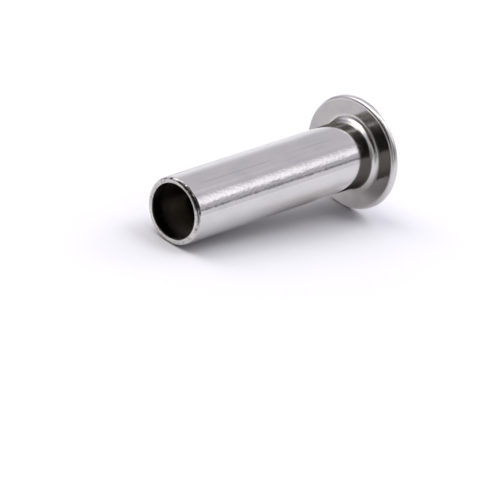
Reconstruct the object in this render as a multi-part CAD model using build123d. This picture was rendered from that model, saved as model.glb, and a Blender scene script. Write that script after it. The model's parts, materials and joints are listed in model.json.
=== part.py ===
"""Tubular rivet with a domed head: one cold-headed piece, lying as it comes to rest.

The rivet's half section is drawn flat, with X along the rivet from the mouth of the tube (x = 0)
towards the head and Y as the radius, and is turned about X. The rivet is then leaned back until
the floor touches it at two rounded edges: the lip of the tube and the rim of the head.

Frame: +X from the mouth towards the head, +Z up. The origin is on the floor, under the middle of
the rivet. Sizes are in millimetres.
"""

import os
from math import asin, atan2, degrees, hypot, radians, tan

from build123d import *

# Shank
SHANK_DIAMETER = 4.95
SHANK_LENGTH = 18.35  # from the lip to the bearing face under the head
UNDERHEAD_FILLET = 0.5

# Tube wall and its lip
WALL_THICKNESS = 0.42
LIP_OUTER_ROUNDING = 0.27
LIP_INNER_ROUNDING = 0.07

# Blind end of the hole
WEB_LENGTH = 1.6  # solid metal between the tip of the hole and the bearing face
HOLE_END_ANGLE = 120.0  # full angle of the cone that ends the hole
HOLE_END_ROUNDING = 0.3

# Head
HEAD_DIAMETER = 8.46
HEAD_HEIGHT = 1.65  # from the bearing face to the crown of the dome
RIM_THICKNESS = 0.51  # from the bearing face to the edge of the dome, before rounding
RIM_BEARING_ROUNDING = 0.3
RIM_DOME_ROUNDING = 0.2

# Turn about the rivet's own axis, in degrees, which puts the line where the turned surfaces
# close a little off its level side
SEAM_TURN = 4.0

SHANK_RADIUS = SHANK_DIAMETER / 2
HOLE_RADIUS = SHANK_RADIUS - WALL_THICKNESS
HEAD_RADIUS = HEAD_DIAMETER / 2


def dome_radius():
    """Radius of the sphere whose cap is the dome."""
    cap_height = HEAD_HEIGHT - RIM_THICKNESS
    return (HEAD_RADIUS**2 + cap_height**2) / (2 * cap_height)


def half_section():
    """The rivet's section on one side of its axis, with the corners rounded."""
    hole_tip = (SHANK_LENGTH - WEB_LENGTH, 0)
    hole_end = (hole_tip[0] - HOLE_RADIUS / tan(radians(HOLE_END_ANGLE / 2)), HOLE_RADIUS)
    lip_inner = (0, HOLE_RADIUS)
    lip_outer = (0, SHANK_RADIUS)
    underhead = (SHANK_LENGTH, SHANK_RADIUS)
    rim_bearing = (SHANK_LENGTH, HEAD_RADIUS)
    rim_dome = (SHANK_LENGTH + RIM_THICKNESS, HEAD_RADIUS)
    crown = (SHANK_LENGTH + HEAD_HEIGHT, 0)
    roundings = (
        (hole_end, HOLE_END_ROUNDING),
        (lip_inner, LIP_INNER_ROUNDING),
        (lip_outer, LIP_OUTER_ROUNDING),
        (underhead, UNDERHEAD_FILLET),
        (rim_bearing, RIM_BEARING_ROUNDING),
        (rim_dome, RIM_DOME_ROUNDING),
    )
    with BuildSketch() as section:
        with BuildLine():
            Polyline(hole_tip, hole_end, lip_inner, lip_outer, underhead, rim_bearing, rim_dome)
            RadiusArc(rim_dome, crown, dome_radius())
            Line(crown, hole_tip)
        make_face()
        for corner, radius in roundings:
            fillet(section.vertices().sort_by_distance(corner)[0], radius)
    return section.sketch


def rest_lean():
    """Angle between the rivet's axis and the floor, in degrees.

    In the section the floor is the line that touches both rounded edges: the outside of the lip
    and the bearing side of the rim.
    """
    along = (SHANK_LENGTH + RIM_BEARING_ROUNDING) - LIP_OUTER_ROUNDING
    outwards = (HEAD_RADIUS - RIM_BEARING_ROUNDING) - (SHANK_RADIUS - LIP_OUTER_ROUNDING)
    bigger_by = RIM_BEARING_ROUNDING - LIP_OUTER_ROUNDING
    return degrees(atan2(outwards, along) + asin(bigger_by / hypot(along, outwards)))


def rivet():
    """The rivet as one solid, lying on the floor with the origin under its middle."""
    turned = revolve(half_section(), axis=Axis.X).rotate(Axis.X, SEAM_TURN)
    lying = turned.rotate(Axis.Y, -rest_lean())
    box = lying.bounding_box()
    return lying.translate((-box.center().X, 0, -box.min.Z))


os.makedirs("parts", exist_ok=True)
export_step(rivet(), "parts/rivet.step")
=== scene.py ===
"""Looks of a bright nickel-plated tubular rivet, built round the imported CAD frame.

The rivet is one piece. Its section is drawn once as a line of straight runs and true arcs, and is
spun about the rivet's own axis, which the frame's mounts give. Everything is in metres.
"""

import json
import logging
import math
from dataclasses import dataclass, field
from enum import Enum

import bpy
from mathutils import Matrix, Vector

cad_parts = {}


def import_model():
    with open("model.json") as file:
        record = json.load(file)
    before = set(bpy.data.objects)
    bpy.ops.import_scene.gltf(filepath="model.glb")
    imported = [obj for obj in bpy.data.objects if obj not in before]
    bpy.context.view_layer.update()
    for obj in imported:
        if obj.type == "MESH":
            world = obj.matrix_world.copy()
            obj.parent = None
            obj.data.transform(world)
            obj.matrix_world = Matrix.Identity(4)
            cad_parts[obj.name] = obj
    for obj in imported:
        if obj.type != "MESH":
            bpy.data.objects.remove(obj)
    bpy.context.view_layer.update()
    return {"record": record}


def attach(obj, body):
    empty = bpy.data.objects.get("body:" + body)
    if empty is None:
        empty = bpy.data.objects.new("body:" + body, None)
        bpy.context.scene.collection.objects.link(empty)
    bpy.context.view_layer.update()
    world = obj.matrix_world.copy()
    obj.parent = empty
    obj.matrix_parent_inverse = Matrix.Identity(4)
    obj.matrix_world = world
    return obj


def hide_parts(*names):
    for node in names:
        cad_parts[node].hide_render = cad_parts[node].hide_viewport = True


LOG = logging.getLogger("rivet")
MM = 0.001
HALF_TURN = 180.0

Colour = tuple[float, float, float]
Span = tuple[float, float]
Sizes = tuple[float, float, float]
Feed = bpy.types.NodeSocket | float | tuple[float, ...]

BLACK: Colour = (0, 0, 0)


def deselect_all() -> None:
    """Leave edit mode and deselect every object."""
    if bpy.context.object and bpy.context.object.mode != "OBJECT":
        bpy.ops.object.mode_set(mode="OBJECT")
    bpy.ops.object.select_all(action="DESELECT")


@dataclass(frozen=True)
class RivetAxis:
    """The rivet's own axis as it lies: where the mouth is, and which way the head lies.

    Args:
        mouth: Middle of the open end.
        along: Unit vector from the mouth towards the head.
    """

    mouth: Vector
    along: Vector

    @classmethod
    def from_mounts(cls, mounts: dict[str, dict], lip_rounding: float) -> "RivetAxis":
        """Read the axis from the shank mount.

        Args:
            mounts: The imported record's mounts, by name.
            lip_rounding: Length of the lip's outer rounding, which the mount's wall leaves out.

        Returns:
            The axis, in the row frame.
        """
        shank = mounts["shank"]
        along = -Vector(shank["axis"]).normalized()
        half_wall = shank["dims"]["length_mm"] * MM / 2
        mouth = Vector(shank["pos_m"]) - along * (half_wall + lip_rounding)
        return cls(mouth, along)

    @property
    def outwards(self) -> Vector:
        """Unit vector across the axis, in the plane of symmetry, pointing up."""
        return Vector((0, -1, 0)).cross(self.along).normalized()

    @property
    def lean(self) -> float:
        """Angle by which the axis rises from the floor, in radians."""
        return math.asin(self.along.z)

    def point(self, distance: float, radius: float) -> Vector:
        """Place of a point of the section, by its distances from the mouth and the axis."""
        return self.mouth + self.along * distance + self.outwards * radius


class SectionPen:
    """Draws a section as a chain of edges, by extruding and spinning its last vertex.

    Args:
        name: Name of the object that holds the chain.
        axis: Axis that the section's distances and radii are measured from.
        start: First point, as (distance, radius).
    """

    HOLDING_RUN = 0.02 * MM
    LARGEST_HOLDING_SHARE = 0.25
    MERGE_REACH = 1e-7

    def __init__(self, name: str, axis: RivetAxis, start: Span) -> None:
        """Start the chain as one vertex.

        Args:
            name: Name of the object that holds the chain.
            axis: The rivet's axis.
            start: First point, as (distance, radius).
        """
        deselect_all()
        self.axis = axis
        self.at = start
        bpy.ops.mesh.primitive_plane_add(size=MM, location=axis.point(*start))
        self.piece = bpy.context.object
        self.piece.name = name
        self.piece.data.name = name
        bpy.ops.object.transform_apply(location=True)
        bpy.ops.object.mode_set(mode="EDIT")
        bpy.ops.mesh.select_mode(type="VERT")
        bpy.ops.mesh.select_all(action="SELECT")
        bpy.ops.mesh.merge(type="CENTER")

    def _extrude(self, end: Span) -> None:
        """Extrude the last vertex to a point, as one edge.

        Args:
            end: The point, as (distance, radius).
        """
        step = self.axis.point(*end) - self.axis.point(*self.at)
        bpy.ops.mesh.extrude_region_move(TRANSFORM_OT_translate={"value": step})
        self.at = end

    def run_to(self, end: Span) -> None:
        """Draw a straight run, with a short edge at each end that holds its shading straight.

        Args:
            end: Last point of the run, as (distance, radius).
        """
        start = Vector(self.at)
        way = Vector(end) - start
        share = min(self.HOLDING_RUN / way.length, self.LARGEST_HOLDING_SHARE)
        for part in (share, 1 - share, 1):
            self._extrude(tuple(start + way * part))

    def arc_about(self, centre: Span, angle: float, steps: int) -> None:
        """Draw a true arc.

        Args:
            centre: Centre of the arc, as (distance, radius).
            angle: Turn in radians, positive from the axis's direction towards outwards.
            steps: Number of edges.
        """
        normal = self.axis.outwards.cross(self.axis.along)
        bpy.ops.mesh.spin(
            steps=steps, angle=angle, center=self.axis.point(*centre), axis=normal
        )
        arm = Vector(self.at) - Vector(centre)
        arm.rotate(Matrix.Rotation(angle, 2))
        self.at = tuple(Vector(centre) + arm)

    def turn(self, steps: int) -> bpy.types.Object:
        """Spin the drawn section once round the axis and close it.

        Args:
            steps: Number of copies of the section.

        Returns:
            The finished piece, with its place in its mesh.
        """
        bpy.ops.mesh.select_all(action="SELECT")
        bpy.ops.mesh.spin(
            steps=steps, angle=math.tau, center=self.axis.mouth, axis=self.axis.along
        )
        bpy.ops.mesh.select_all(action="SELECT")
        bpy.ops.mesh.remove_doubles(threshold=self.MERGE_REACH)
        bpy.ops.mesh.select_all(action="SELECT")
        bpy.ops.mesh.normals_make_consistent(inside=False)
        bpy.ops.object.mode_set(mode="OBJECT")
        bpy.ops.object.shade_smooth()
        return self.piece


class Sum(Enum):
    """The ways in which a node sheet works one number out of others."""

    ADD = "ADD"
    SUBTRACT = "SUBTRACT"
    MULTIPLY = "MULTIPLY"
    LARGER = "MAXIMUM"
    SIZE = "ABSOLUTE"
    ROOT = "SQRT"
    LESS_THAN = "LESS_THAN"
    WRAP = "WRAP"
    DEGREES = "DEGREES"
    ANGLE_OF = "ARCTAN2"
    ARC_SINE = "ARCSINE"


class NodeSheet:
    """A node tree, with short ways of adding nodes to it.

    Args:
        tree: The tree to add to.
    """

    # Numbers of a colour mix's sockets
    MIX_SHARE = 0
    MIX_FIRST = 6
    MIX_SECOND = 7
    MIXED = 2

    def __init__(self, tree: bpy.types.NodeTree) -> None:
        """Take the tree to add to."""
        self.tree = tree

    def add(
        self, kind: str, feeds: dict[str | int, Feed] | None = None, **settings: str | bool
    ) -> bpy.types.Node:
        """Add a node.

        Args:
            kind: The node's type.
            feeds: Values or sockets for its inputs, by name or number.
            settings: The node's own settings.

        Returns:
            The node.
        """
        node = self.tree.nodes.new(kind)
        for name, setting in settings.items():
            setattr(node, name, setting)
        for name, feed in (feeds or {}).items():
            self.feed(node.inputs[name], feed)
        return node

    def feed(self, socket: bpy.types.NodeSocket, feed: Feed) -> None:
        """Set an input's value, or link it to another node's output.

        Args:
            socket: The input.
            feed: The output, the number, or the colour's red, green and blue.
        """
        if isinstance(feed, bpy.types.NodeSocket):
            self.tree.links.new(feed, socket)
        elif socket.type == "RGBA":
            socket.default_value = (*feed, 1)
        else:
            socket.default_value = feed

    def math(self, kind: Sum, *feeds: Feed) -> bpy.types.NodeSocket:
        """Work out one number from others."""
        node = self.add("ShaderNodeMath", dict(enumerate(feeds)), operation=kind.value)
        return node.outputs[0]

    def times(self, first: Feed, second: Feed) -> bpy.types.NodeSocket:
        """Multiply two numbers."""
        return self.math(Sum.MULTIPLY, first, second)

    def largest(self, first: Feed, *others: Feed) -> Feed:
        """Give the largest of some numbers.

        Args:
            first: The first number.
            others: The other numbers.

        Returns:
            The largest of them.
        """
        for other in others:
            first = self.math(Sum.LARGER, first, other)
        return first

    def ramp(
        self, value: Feed, start: float, end: float, low: Feed = 0, high: Feed = 1
    ) -> bpy.types.NodeSocket:
        """Rise smoothly from low to high, and stay level outside the ramp.

        Args:
            value: The number that the ramp follows.
            start: Value at which the ramp is at low.
            end: Value at which the ramp is at high, which may be under start.
            low: Number at the start.
            high: Number at the end.

        Returns:
            The ramp's number.
        """
        feeds = {"Value": value, "From Min": start, "From Max": end, "To Min": low, "To Max": high}
        node = self.add("ShaderNodeMapRange", feeds, interpolation_type="SMOOTHSTEP")
        return node.outputs["Result"]

    def within(self, value: Feed, reach: float, edge: float) -> bpy.types.NodeSocket:
        """Give 1 where a value's size is under reach and 0 beyond it, with a soft edge."""
        return self.ramp(self.math(Sum.SIZE, value), reach + edge / 2, reach - edge / 2)

    def between(self, value: Feed, start: float, end: float, edge: float) -> bpy.types.NodeSocket:
        """Give 1 from start to end and 0 outside them, with soft edges."""
        offset = self.math(Sum.SUBTRACT, value, (start + end) / 2)
        return self.within(offset, (end - start) / 2, edge)

    def about(self, value: Feed, middle: float, width: float, edge: float) -> bpy.types.NodeSocket:
        """Give 1 in a band of this width about a middle value, with soft edges."""
        return self.within(self.math(Sum.SUBTRACT, value, middle), width / 2, edge)

    def mix(self, share: Feed, first: Feed, second: Feed) -> bpy.types.NodeSocket:
        """Mix two colours.

        Args:
            share: The second colour's share, from 0 to 1.
            first: The first colour.
            second: The second colour.

        Returns:
            The mixed colour.
        """
        node = self.add("ShaderNodeMix", data_type="RGBA")
        feeds = {self.MIX_SHARE: share, self.MIX_FIRST: first, self.MIX_SECOND: second}
        for number, feed in feeds.items():
            self.feed(node.inputs[number], feed)
        return node.outputs[self.MIXED]

    def noise(self, place: Feed, grain: Sizes, detail: float) -> bpy.types.NodeSocket:
        """Give soft noise round 0.5.

        Args:
            place: Where to read the noise.
            grain: Size of a grain along each axis, in metres.
            detail: Number of finer layers.

        Returns:
            The noise.
        """
        scaled = self.add("ShaderNodeVectorMath", {0: place, 1: grain}, operation="DIVIDE")
        feeds = {"Vector": scaled.outputs[0], "Scale": 1.0, "Detail": detail}
        return self.add("ShaderNodeTexNoise", feeds).outputs[0]


@dataclass(frozen=True)
class RivetPlaces:
    """Where a point of the surface lies on the rivet, as sockets.

    Args:
        own: Place measured from the mouth, with X along the axis, in metres.
        along: Distance from the mouth, in metres.
        radius: Distance from the axis, in metres.
        turn: Angle round the axis, in degrees: 90 on top and 180 on the camera's side.
    """

    own: bpy.types.NodeSocket
    along: bpy.types.NodeSocket
    radius: bpy.types.NodeSocket
    turn: bpy.types.NodeSocket

    @classmethod
    def on(cls, sheet: NodeSheet, axis: RivetAxis) -> "RivetPlaces":
        """Work the places out from the object's coordinates.

        Args:
            sheet: The material's node sheet.
            axis: The rivet's axis.

        Returns:
            The places.
        """
        place = sheet.add("ShaderNodeTexCoord").outputs["Object"]
        feeds = {"Vector": place, "Location": tuple(axis.mouth), "Rotation": (0, -axis.lean, 0)}
        own = sheet.add("ShaderNodeMapping", feeds, vector_type="TEXTURE").outputs["Vector"]
        parts = sheet.add("ShaderNodeSeparateXYZ", {0: own}).outputs
        squares = [sheet.times(parts[name], parts[name]) for name in "YZ"]
        radius = sheet.math(Sum.ROOT, sheet.math(Sum.ADD, *squares))
        turn = sheet.math(Sum.DEGREES, sheet.math(Sum.ANGLE_OF, parts["Z"], parts["Y"]))
        return cls(own, parts["X"], radius, turn)


@dataclass(frozen=True)
class DieLine:
    """A faint line that the die left along the shank. Lengths in metres, angles in degrees."""

    turn: float
    width: float
    start: float
    end: float


@dataclass(frozen=True)
class ScuffAndDarkReflection:
    """A mottled dark band on the lip, partly wear and partly painted dark reflection, which may widen
    round the lip.

    Angles in degrees, distances from the mouth in metres.
    """

    start_turn: float
    end_turn: float
    near: float
    start_far: float
    end_far: float


@dataclass(frozen=True)
class Nick:
    """A small dark nick in the lip. Angles in degrees, lengths in metres."""

    turn: float
    width: float
    along: float
    length: float


@dataclass(frozen=True)
class BrightNickel:
    """Bright nickel plating over drawn and cold-headed steel.

    Lengths are in metres and angles round the axis in degrees. A span is where a ramp starts and
    ends, and an edge or a fade is the width of a soft boundary.
    """

    # Plating
    colour: Colour = (0.66, 0.645, 0.65)
    patchy_colour: Colour = (0.61, 0.6, 0.615)
    patch_grain: Sizes = (3 * MM, 1.2 * MM, 1.2 * MM)
    patch_detail: float = 2
    patch_range: Span = (0.42, 0.72)
    roughness: float = 0.05

    # Struck head, with its satin fillet and rim
    head_roughness: float = 0.12
    head_fade: Span = (15 * MM, 18 * MM)
    fillet_along: Span = (17.85 * MM, 18.42 * MM)
    fillet_outside: float = 2.97 * MM
    fillet_edge: float = 0.1 * MM
    fillet_roughness: float = 0.24
    rim_inside: float = 3.86 * MM
    rim_fade: float = 0.2 * MM
    rim_roughness: float = 0.27

    # Grain, which is strong on one side of the shank, and waves from drawing
    grain: Sizes = (0.32 * MM, 0.17 * MM, 0.17 * MM)
    grain_detail: float = 3
    grain_range: Span = (0.45, 0.8)
    grain_roughness: float = 0.05
    grain_height: float = 0.012 * MM
    grainy_turns: Span = (129, 157)
    grainy_edge: float = 8
    plain_grain: float = 0.15
    head_grain: float = 0.3
    waves: Sizes = (2.4 * MM, 0.9 * MM, 0.9 * MM)
    wave_detail: float = 1
    wave_height: float = 0.003 * MM

    # Lines that the die left
    die_lines: tuple[DieLine, ...] = (
        DieLine(110.5, 1.8, 1.6 * MM, 8.4 * MM),
        DieLine(108.5, 2.0, 11.6 * MM, 14.4 * MM),
    )
    die_line_colour: Colour = (0.565, 0.55, 0.575)
    die_line_edge: float = 3.4
    die_line_fade: float = 2 * MM

    # Dents and wear of the lip and the rim, with dark bands on the lip that also paint a dark
    # reflection
    edge_grain: Sizes = (0.22 * MM, 0.22 * MM, 0.22 * MM)
    dent_detail: float = 2
    mottle_detail: float = 3
    edge_height: float = 0.008 * MM
    rim_dents: float = 0.5
    lip_reach: float = 0.32 * MM
    lip_roughness: float = 0.26
    lip_wear: float = 0.5
    lip_wear_range: Span = (0.52, 0.66)
    # Dark colour of the lip's wear, also used for the painted dark reflection of its scuffed bands
    wear_and_dark_reflection_colour: Colour = (0.07, 0.066, 0.066)
    # Scuffed bands: partly wear, partly painted dark reflection over the lip's outer rounding
    scuffs_and_dark_reflections: tuple[ScuffAndDarkReflection, ...] = (
        ScuffAndDarkReflection(87, 132, 0.01 * MM, 0.13 * MM, 0.24 * MM),
        ScuffAndDarkReflection(102, 153, 0.001 * MM, 0.2 * MM, 0.29 * MM),
        ScuffAndDarkReflection(-96, -20, 0.02 * MM, 0.06 * MM, 0.06 * MM),
    )
    scuff_and_reflection_range: Span = (0.27, 0.42)
    scuff_and_reflection_edge: float = 0.008 * MM
    scuff_and_reflection_fade: float = 12
    nicks: tuple[Nick, ...] = (
        Nick(72, 6, 0.08 * MM, 0.1 * MM),
        Nick(158, 4, 0.2 * MM, 0.16 * MM),
        Nick(-172, 3, 0.05 * MM, 0.08 * MM),
    )
    nick_edge: float = 0.04 * MM
    nick_fade: float = 3

    # Hole: pale near the mouth to paint a glow in it, with painted shade in its depth and on its upper
    # side
    # Pale wall colour, lighter than the plating, that paints a glow in the hole
    bore_glow_colour: Colour = (0.93, 0.86, 0.77)
    # Dark colour that paints the shade in the hole's depth and on its upper side
    bore_painted_shade_colour: Colour = (0.12, 0.085, 0.075)
    painted_shade_from: float = 2.8 * MM
    painted_shade_fade: float = 1.6 * MM
    painted_shade_turns: Span = (-16, 158)
    painted_shade_edge: float = 32
    bore_roughness: float = 0.55
    bore_end: float = 17.5 * MM
    bore_shade: Span = (-0.4 * MM, 2.4 * MM)

    def material(
        self, axis: RivetAxis, hole_radius: float, shank_radius: float
    ) -> bpy.types.Material:
        """Make the plating's material.

        Args:
            axis: The rivet's axis, which the grain follows.
            hole_radius: Radius of the hole.
            shank_radius: Radius of the shank.

        Returns:
            The material.
        """
        material = bpy.data.materials.new("bright_nickel")
        material.use_nodes = True
        shader = material.node_tree.nodes["Principled BSDF"]
        sheet = NodeSheet(material.node_tree)
        places = RivetPlaces.on(sheet, axis)
        bore = self._bore(sheet, places, (hole_radius + shank_radius) / 2)
        grain = sheet.noise(places.own, self.grain, self.grain_detail)

        sheet.feed(shader.inputs["Base Color"], self._colour(sheet, places, bore))
        sheet.feed(shader.inputs["Roughness"], self._roughness(sheet, places, bore, grain))
        sheet.feed(shader.inputs["Normal"], self._relief(sheet, places, grain))
        sheet.feed(shader.inputs["Metallic"], 1)
        return material

    def _bore(self, sheet: NodeSheet, places: RivetPlaces, middle: float) -> Feed:
        """Tell the hole from the rest.

        Args:
            sheet: The material's node sheet.
            places: Where a point lies on the rivet.
            middle: A radius inside the wall, between the hole's and the shank's.

        Returns:
            1 in the hole and 0 outside it, rising on the way in from the mouth.
        """
        inside = sheet.times(
            sheet.math(Sum.LESS_THAN, places.radius, middle),
            sheet.math(Sum.LESS_THAN, places.along, self.bore_end),
        )
        return sheet.times(inside, sheet.ramp(places.along, *self.bore_shade))

    def _lip(self, sheet: NodeSheet, places: RivetPlaces) -> Feed:
        """Give 1 on the lip and 0 past it."""
        return sheet.ramp(places.along, self.lip_reach, self.lip_reach / 2)

    def _rim(self, sheet: NodeSheet, places: RivetPlaces) -> Feed:
        """Give 1 on the head's rim and 0 inside it."""
        return sheet.ramp(places.radius, self.rim_inside, self.rim_inside + self.rim_fade)

    def _fillet(self, sheet: NodeSheet, places: RivetPlaces) -> Feed:
        """Tell the fillet under the head from the rest.

        Args:
            sheet: The material's node sheet.
            places: Where a point lies on the rivet.

        Returns:
            1 on the fillet and 0 off it.
        """
        outside = self.fillet_outside
        return sheet.times(
            sheet.between(places.along, *self.fillet_along, self.fillet_edge),
            sheet.ramp(places.radius, outside + self.fillet_edge, outside),
        )

    def _colour(self, sheet: NodeSheet, places: RivetPlaces, bore: Feed) -> Feed:
        """Mix the plating's colour with its patches, its die lines, the lip's wear and painted dark
        reflection, and the hole's painted glow and shade.

        Args:
            sheet: The material's node sheet.
            places: Where a point lies on the rivet.
            bore: 1 in the hole.

        Returns:
            The colour.
        """
        patches = sheet.noise(places.own, self.patch_grain, self.patch_detail)
        patches = sheet.ramp(patches, *self.patch_range)
        colour = sheet.mix(patches, self.colour, self.patchy_colour)
        for line in self.die_lines:
            share = sheet.times(
                sheet.about(places.turn, line.turn, line.width, self.die_line_edge),
                sheet.between(places.along, line.start, line.end, self.die_line_fade),
            )
            colour = sheet.mix(share, colour, self.die_line_colour)
        # The lip's wear and nicks, with painted dark reflection in its scuffed bands
        colour = sheet.mix(self._lip_marks(sheet, places), colour, self.wear_and_dark_reflection_colour)
        return sheet.mix(bore, colour, self._bore_painted_light(sheet, places))

    def _bore_painted_light(self, sheet: NodeSheet, places: RivetPlaces) -> Feed:
        """Mix the hole's pale colour, which paints a glow, with painted shade in its depth and on its
        upper side.

        Args:
            sheet: The material's node sheet.
            places: Where a point lies on the rivet.

        Returns:
            The hole's colour.
        """
        # Painted shade: darker deep in the hole and on its upper side
        deep = sheet.ramp(places.along, self.painted_shade_from, self.painted_shade_from + self.painted_shade_fade)
        upper = sheet.between(places.turn, *self.painted_shade_turns, self.painted_shade_edge)
        return sheet.mix(sheet.largest(deep, upper), self.bore_glow_colour, self.bore_painted_shade_colour)

    def _lip_marks(self, sheet: NodeSheet, places: RivetPlaces) -> Feed:
        """Draw the dark marks of the lip: its mottling, its scuffed bands, which are partly painted
        dark reflection, and its nicks.

        Args:
            sheet: The material's node sheet.
            places: Where a point lies on the rivet.

        Returns:
            1 in the marks and 0 outside them.
        """
        mottle = sheet.noise(places.own, self.edge_grain, self.mottle_detail)
        lip = sheet.ramp(places.along, self.lip_reach, 0, 0, self.lip_wear)
        marks = [sheet.times(lip, sheet.ramp(mottle, *self.lip_wear_range))]
        # The scuffed bands paint a dark reflection on the lip's outer rounding, over its highlight
        patchy = sheet.ramp(mottle, *self.scuff_and_reflection_range)
        marks += [sheet.times(self._scuff_and_reflection_band(sheet, places, scuff_and_reflection), patchy) for scuff_and_reflection in self.scuffs_and_dark_reflections]
        marks += [self._nick_mark(sheet, places, nick) for nick in self.nicks]
        return sheet.largest(*marks)

    def _scuff_and_reflection_band(self, sheet: NodeSheet, places: RivetPlaces, scuff_and_reflection: ScuffAndDarkReflection) -> Feed:
        """Draw the band of a mark that is partly scuffing and partly painted dark reflection, before
        it is mottled.

        Args:
            sheet: The material's node sheet.
            places: Where a point lies on the rivet.
            scuff_and_reflection: The band, partly scuffing and partly painted dark reflection.

        Returns:
            1 in the band and 0 outside it.
        """
        turns = (scuff_and_reflection.start_turn, scuff_and_reflection.end_turn)
        half_edge = self.scuff_and_reflection_edge / 2
        far = sheet.ramp(places.turn, *turns, scuff_and_reflection.start_far, scuff_and_reflection.end_far)
        beyond = sheet.math(Sum.SUBTRACT, places.along, far)
        band = sheet.times(
            sheet.ramp(beyond, half_edge, -half_edge),
            sheet.ramp(places.along, scuff_and_reflection.near - half_edge, scuff_and_reflection.near + half_edge),
        )
        return sheet.times(band, sheet.between(places.turn, *turns, self.scuff_and_reflection_fade))

    def _nick_mark(self, sheet: NodeSheet, places: RivetPlaces, nick: Nick) -> Feed:
        """Draw a nick.

        Args:
            sheet: The material's node sheet.
            places: Where a point lies on the rivet.
            nick: The nick.

        Returns:
            1 in the nick and 0 outside it.
        """
        return sheet.times(
            sheet.about(places.turn, nick.turn, nick.width, self.nick_fade),
            sheet.about(places.along, nick.along, nick.length, self.nick_edge),
        )

    def _roughness(
        self, sheet: NodeSheet, places: RivetPlaces, bore: Feed, grain: Feed
    ) -> Feed:
        """Roughen the struck head, the grain, the lip and the hole.

        Args:
            sheet: The material's node sheet.
            places: Where a point lies on the rivet.
            bore: 1 in the hole.
            grain: The grain's noise.

        Returns:
            The roughness.
        """
        head = sheet.ramp(places.along, *self.head_fade, self.roughness, self.head_roughness)
        in_grain = sheet.ramp(grain, *self.grain_range, 0, self.grain_roughness)
        return sheet.largest(
            sheet.math(Sum.ADD, head, in_grain),
            sheet.times(self._rim(sheet, places), self.rim_roughness),
            sheet.times(self._lip(sheet, places), self.lip_roughness),
            sheet.times(self._fillet(sheet, places), self.fillet_roughness),
            sheet.times(bore, self.bore_roughness),
        )

    def _relief(self, sheet: NodeSheet, places: RivetPlaces, grain: Feed) -> Feed:
        """Raise the waves from drawing, the grain, and the small dents of the lip and the rim.

        Args:
            sheet: The material's node sheet.
            places: Where a point lies on the rivet.
            grain: The grain's noise.

        Returns:
            The normal.
        """
        side = sheet.between(places.turn, *self.grainy_turns, self.grainy_edge)
        shank_share = sheet.ramp(side, 0, 1, self.plain_grain, 1)
        share = sheet.ramp(places.along, *self.head_fade, shank_share, self.head_grain)
        rim = sheet.times(self._rim(sheet, places), self.rim_dents)
        struck = sheet.largest(self._lip(sheet, places), rim)
        dents = sheet.noise(places.own, self.edge_grain, self.dent_detail)
        heights = (
            (sheet.noise(places.own, self.waves, self.wave_detail), self.wave_height),
            (sheet.times(grain, share), self.grain_height),
            (sheet.times(dents, struck), self.edge_height),
        )
        total: Feed = 0.0
        for height, size in heights:
            total = sheet.math(Sum.ADD, total, sheet.times(height, size / MM))
        feeds = {"Height": total, "Distance": MM, "Strength": 1.0}
        return sheet.add("ShaderNodeBump", feeds).outputs["Normal"]


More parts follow.
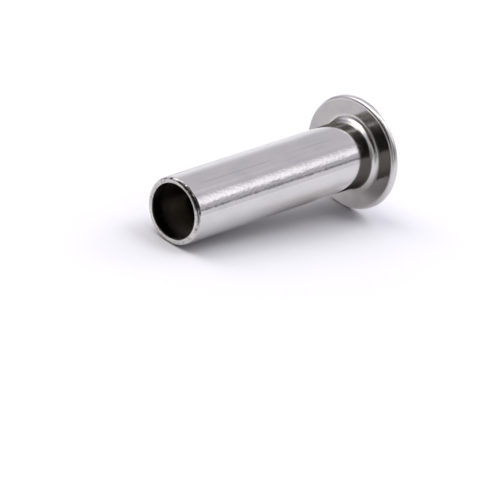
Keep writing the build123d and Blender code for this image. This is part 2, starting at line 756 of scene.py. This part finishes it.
@dataclass
class RivetBody:
    """The one piece: shank with its blind hole, fillet and domed head.

    Sizes that the frame's mounts don't give are fields, in metres. Steps are numbers of edges.
    """

    web: float = 1.6 * MM
    hole_end_half_angle: float = math.radians(60)
    hole_end_rounding: float = 0.3 * MM
    hole_end_steps: int = 10
    lip_inner_rounding: float = 0.07 * MM
    lip_inner_steps: int = 8
    lip_outer_rounding: float = 0.27 * MM
    lip_outer_steps: int = 14
    underhead_fillet: float = 0.5 * MM
    underhead_steps: int = 16
    head_radius: float = 4.23 * MM
    head_height: float = 1.65 * MM
    rim_thickness: float = 0.51 * MM
    rim_bearing_rounding: float = 0.3 * MM
    rim_dome_rounding: float = 0.2 * MM
    rim_steps: int = 14
    dome_steps: int = 40
    turn_steps: int = 256
    finish: BrightNickel = field(default_factory=BrightNickel)

    def build(self, mounts: dict[str, dict]) -> bpy.types.Object:
        """Model the rivet where it lies.

        Args:
            mounts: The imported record's mounts, by name.

        Returns:
            The rivet, which stands for the CAD node.
        """
        axis = RivetAxis.from_mounts(mounts, self.lip_outer_rounding)
        shank_radius = mounts["shank"]["dims"]["r_mm"] * MM
        hole_radius = mounts["bore"]["dims"]["r_mm"] * MM
        wall = mounts["shank"]["dims"]["length_mm"] * MM
        bearing = self.lip_outer_rounding + wall + self.underhead_fillet

        pen = SectionPen("rivet_bright", axis, (bearing - self.web, 0))
        self._draw_hole(pen, bearing - self.web, hole_radius)
        self._draw_lip(pen, shank_radius, hole_radius)
        self._draw_head(pen, bearing, shank_radius)
        rivet = pen.turn(self.turn_steps)
        rivet.data.materials.append(self.finish.material(axis, hole_radius, shank_radius))
        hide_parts("rivet")
        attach(rivet, "root")
        return rivet

    def _draw_hole(self, pen: SectionPen, tip: float, hole_radius: float) -> None:
        """Draw the cone that ends the hole, and the hole's wall up to the lip.

        Args:
            pen: The pen, which stands at the tip of the cone.
            tip: Distance of that tip from the mouth.
            hole_radius: Radius of the hole.
        """
        half = self.hole_end_half_angle
        rounding = self.hole_end_rounding
        wall_end = tip - hole_radius / math.tan(half)
        tangent = rounding * math.tan(half / 2)
        along_cone = (math.cos(half) * tangent, -math.sin(half) * tangent)
        pen.run_to((wall_end + along_cone[0], hole_radius + along_cone[1]))
        pen.arc_about((wall_end - tangent, hole_radius - rounding), half, self.hole_end_steps)
        pen.run_to((self.lip_inner_rounding, hole_radius))

    def _draw_lip(self, pen: SectionPen, shank_radius: float, hole_radius: float) -> None:
        """Draw the lip, from the hole's wall round to the outside of the shank.

        Args:
            pen: The pen, which stands where the hole's wall ends.
            shank_radius: Radius of the shank.
            hole_radius: Radius of the hole.
        """
        inner = self.lip_inner_rounding
        outer = self.lip_outer_rounding
        pen.arc_about((inner, hole_radius + inner), -math.pi / 2, self.lip_inner_steps)
        pen.run_to((0, shank_radius - outer))
        pen.arc_about((outer, shank_radius - outer), -math.pi / 2, self.lip_outer_steps)

    def _draw_head(self, pen: SectionPen, bearing: float, shank_radius: float) -> None:
        """Draw the shank's outside, the fillet, the rim and the dome up to its crown.

        Args:
            pen: The pen, which stands where the lip meets the shank.
            bearing: Distance of the bearing face from the mouth.
            shank_radius: Radius of the shank.
        """
        fillet = self.underhead_fillet
        pen.run_to((bearing - fillet, shank_radius))
        pen.arc_about((bearing - fillet, shank_radius + fillet), math.pi / 2, self.underhead_steps)
        low = self.rim_bearing_rounding
        high = self.rim_dome_rounding
        pen.run_to((bearing, self.head_radius - low))
        pen.arc_about((bearing + low, self.head_radius - low), -math.pi / 2, self.rim_steps)

        cap = self.head_height - self.rim_thickness
        dome = (self.head_radius**2 + cap**2) / (2 * cap)
        centre = bearing + self.head_height - dome
        blend_radius = self.head_radius - high
        blend_along = centre + math.sqrt((dome - high) ** 2 - blend_radius**2)
        pen.run_to((blend_along, self.head_radius))
        edge_angle = math.atan2(blend_radius, blend_along - centre)
        pen.arc_about((blend_along, blend_radius), -(math.pi / 2 - edge_angle), self.rim_steps)
        pen.arc_about((centre, 0), -edge_angle, self.dome_steps)


@dataclass(frozen=True)
class SoftBox:
    """A soft-edged patch of light or shade in the surroundings, by direction from the rivet.

    Azimuths turn from +X towards +Y. All angles are in degrees.
    """

    azimuth: float
    elevation: float
    width: float
    height: float
    edge: float
    light: Colour


@dataclass(frozen=True)
class FloorPatch:
    """A soft-edged patch of the floor that only reflections see, in metres."""

    x: float
    y: float
    width: float
    depth: float
    edge: float
    colour: Colour


@dataclass
class Studio:
    """White table, plain surroundings and the camera.

    The camera's heading turns from +Y towards +X. All angles are in degrees. Of the soft boxes,
    the floor's patches and its glows, a later one lies over an earlier one.
    """

    FIRST_REFLECTION = 1.0
    SECOND_REFLECTION = 2.0

    # Camera
    focal_pixels: float = 6066.0
    frame_pixels: float = 480.0
    sensor_width: float = 36.0
    heading: float = 52.57
    elevation: float = 23.055
    roll: float = 14.49
    distance: float = 430.5 * MM
    aim: Sizes = (-2.275 * MM, -0.53 * MM, -0.805 * MM)
    clip_start: float = 0.01
    clip_end: float = 10.0

    # Surroundings
    tent: Colour = (0.69, 0.675, 0.72)
    boxes: tuple[SoftBox, ...] = (
        SoftBox(45, 0, 90, 36, 24, (1.04, 1.04, 1.08)),
        SoftBox(0, 90, 360, 70, 24, (0.72, 0.69, 0.73)),
        SoftBox(0, 90, 360, 44, 12, (0.7, 0.72, 0.88)),
        SoftBox(145, 60, 96, 44, 18, (3.0, 2.95, 2.78)),
        SoftBox(-105, 26, 44, 76, 8, (0.54, 0.535, 0.52)),
        SoftBox(-162, 19, 68, 70, 8, (0.007, 0.006, 0.005)),
        SoftBox(-78, 19, 34, 38, 12, (0.08, 0.08, 0.07)),
        SoftBox(164, 18, 48, 40, 8, (0.12, 0.105, 0.09)),
        SoftBox(97, 2, 40, 24, 14, (0.22, 0.19, 0.19)),
        SoftBox(139, 5, 10, 16, 4, (0.12, 0.09, 0.05)),
        SoftBox(-43, 72, 50, 32, 18, (4.2, 4.2, 4.1)),
        SoftBox(-46, 37, 20, 28, 16, (1.5, 1.47, 1.5)),
        SoftBox(-48, 20.5, 20, 8.5, 6, (0.57, 0.565, 0.6)),
        SoftBox(-40, 11.7, 30, 6.6, 4, (0.28, 0.27, 0.29)),
        SoftBox(-46, 0.5, 24, 13.5, 2.5, (0.84, 0.83, 0.88)),
        SoftBox(-3, 30, 30, 14, 8, (4.0, 4.0, 4.0)),
    )

    # Floor, as the camera, first reflections and second reflections see it
    floor_size: float = 1.6
    floor_colour: Colour = (0.94, 0.935, 1.0)
    mirrored_floor: Colour = (0.9, 0.9, 0.94)
    twice_mirrored_floor: Colour = (0.19, 0.178, 0.165)
    patches: tuple[FloorPatch, ...] = (
        FloorPatch(-41 * MM, -41 * MM, 60 * MM, 72 * MM, 10 * MM, (0.02, 0.02, 0.02)),
        FloorPatch(-9 * MM, -22 * MM, 16 * MM, 16 * MM, 4 * MM, (0.4, 0.39, 0.37)),
        FloorPatch(4 * MM, 18 * MM, 22 * MM, 24 * MM, 6 * MM, (0.64, 0.625, 0.635)),
        FloorPatch(-16 * MM, 3 * MM, 14 * MM, 16 * MM, 4 * MM, (0.77, 0.77, 0.77)),
        FloorPatch(6 * MM, -1 * MM, 10 * MM, 8 * MM, 3 * MM, (0.84, 0.82, 0.83)),
    )
    glows: tuple[FloorPatch, ...] = (
        FloorPatch(-6 * MM, 1 * MM, 12 * MM, 8 * MM, 4 * MM, (0.07, 0.07, 0.075)),
        FloorPatch(8.4 * MM, 1.5 * MM, 4.6 * MM, 9 * MM, 2 * MM, (0.24, 0.233, 0.237)),
        FloorPatch(-12 * MM, 1 * MM, 6 * MM, 8 * MM, 3 * MM, (0.2, 0.2, 0.2)),
    )

    def place_camera(self) -> bpy.types.Object:
        """Set the camera at the photograph's view of the rivet.

        Returns:
            The camera.
        """
        data = bpy.data.cameras.new("camera")
        camera = bpy.data.objects.new("camera", data)
        bpy.context.scene.collection.objects.link(camera)
        data.sensor_fit = "HORIZONTAL"
        data.sensor_width = self.sensor_width
        data.lens = self.focal_pixels / self.frame_pixels * self.sensor_width
        data.clip_start = self.clip_start
        data.clip_end = self.clip_end
        turn = (
            Matrix.Rotation(-math.radians(self.heading), 4, "Z")
            @ Matrix.Rotation(math.radians(90 - self.elevation), 4, "X")
            @ Matrix.Rotation(math.radians(self.roll), 4, "Z")
        )
        away = Matrix.Translation((0, 0, self.distance))
        camera.matrix_world = Matrix.Translation(self.aim) @ turn @ away
        bpy.context.scene.camera = camera
        return camera

    def lay_floor(self) -> bpy.types.Object:
        """Lay a plain white floor under the rivet.

        Returns:
            The floor.
        """
        deselect_all()
        bpy.ops.mesh.primitive_plane_add(size=self.floor_size, location=(0, 0, 0))
        floor = bpy.context.object
        floor.name = "floor"
        floor.data.materials.append(self._floor_material())
        return floor

    def _floor_material(self) -> bpy.types.Material:
        """Make the floor's material, which is plain to the camera and patched to reflections.

        Returns:
            The material.
        """
        material = bpy.data.materials.new("white_floor")
        material.use_nodes = True
        shader = material.node_tree.nodes["Principled BSDF"]
        sheet = NodeSheet(material.node_tree)
        place = sheet.add("ShaderNodeTexCoord").outputs["Object"]
        parts = sheet.add("ShaderNodeSeparateXYZ", {0: place}).outputs
        path = sheet.add("ShaderNodeLightPath").outputs
        twice = sheet.ramp(path["Ray Depth"], self.FIRST_REFLECTION, self.SECOND_REFLECTION)
        once = sheet.times(path["Is Glossy Ray"], sheet.math(Sum.SUBTRACT, 1.0, twice))

        mirrored = self._patched(sheet, parts, self.mirrored_floor, self.patches)
        mirrored = sheet.mix(twice, mirrored, self.twice_mirrored_floor)
        colour = sheet.mix(path["Is Camera Ray"], mirrored, self.floor_colour)
        glow = sheet.mix(once, BLACK, self._patched(sheet, parts, BLACK, self.glows))
        sheet.feed(shader.inputs["Base Color"], colour)
        sheet.feed(shader.inputs["Emission Color"], glow)
        sheet.feed(shader.inputs["Emission Strength"], 1)
        sheet.feed(shader.inputs["Roughness"], 1)
        sheet.feed(shader.inputs["Specular IOR Level"], 0)
        # The glows only show in reflections, so the floor isn't sampled as a lamp
        material.cycles.emission_sampling = "NONE"
        return material

    def _patched(
        self,
        sheet: NodeSheet,
        parts: bpy.types.NodeOutputs,
        plain: Colour,
        patches: tuple[FloorPatch, ...],
    ) -> Feed:
        """Mix soft-edged patches into a plain colour.

        Args:
            sheet: The floor's node sheet.
            parts: The floor point's coordinates, as sockets.
            plain: Colour outside the patches.
            patches: The patches.

        Returns:
            The mixed colour.
        """
        colour: Feed = plain
        for patch in patches:
            share = sheet.times(
                sheet.about(parts["X"], patch.x, patch.width, patch.edge),
                sheet.about(parts["Y"], patch.y, patch.depth, patch.edge),
            )
            colour = sheet.mix(share, colour, patch.colour)
        return colour

    def light(self) -> None:
        """Light the rivet with a pale tent, soft boxes and dark sides."""
        world = bpy.data.worlds.new("studio")
        bpy.context.scene.world = world
        world.use_nodes = True
        sheet = NodeSheet(world.node_tree)
        way = sheet.add("ShaderNodeTexCoord").outputs["Generated"]
        parts = sheet.add("ShaderNodeSeparateXYZ", {0: way}).outputs
        azimuth = sheet.math(Sum.DEGREES, sheet.math(Sum.ANGLE_OF, parts["Y"], parts["X"]))
        elevation = sheet.math(Sum.DEGREES, sheet.math(Sum.ARC_SINE, parts["Z"]))
        light: Feed = self.tent
        for box in self.boxes:
            turn = sheet.math(Sum.SUBTRACT, azimuth, box.azimuth)
            turn = sheet.math(Sum.WRAP, turn, HALF_TURN, -HALF_TURN)
            rise = sheet.math(Sum.SUBTRACT, elevation, box.elevation)
            share = sheet.times(
                sheet.within(turn, box.width / 2, box.edge),
                sheet.within(rise, box.height / 2, box.edge),
            )
            light = sheet.mix(share, light, box.light)
        sheet.feed(world.node_tree.nodes["Background"].inputs["Color"], light)
        bpy.context.scene.view_settings.view_transform = "Standard"


def main() -> None:
    """Build the rivet, its floor, its light and the camera."""
    logging.basicConfig(level=logging.INFO, format="%(message)s")
    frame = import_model()
    mounts = {mount["name"]: mount for mount in frame["record"]["mounts"]}
    rivet = RivetBody().build(mounts)
    LOG.info("%s: %d faces", rivet.name, len(rivet.data.polygons))
    studio = Studio()
    studio.lay_floor()
    studio.light()
    studio.place_camera()


if __name__ == "__main__":
    main()
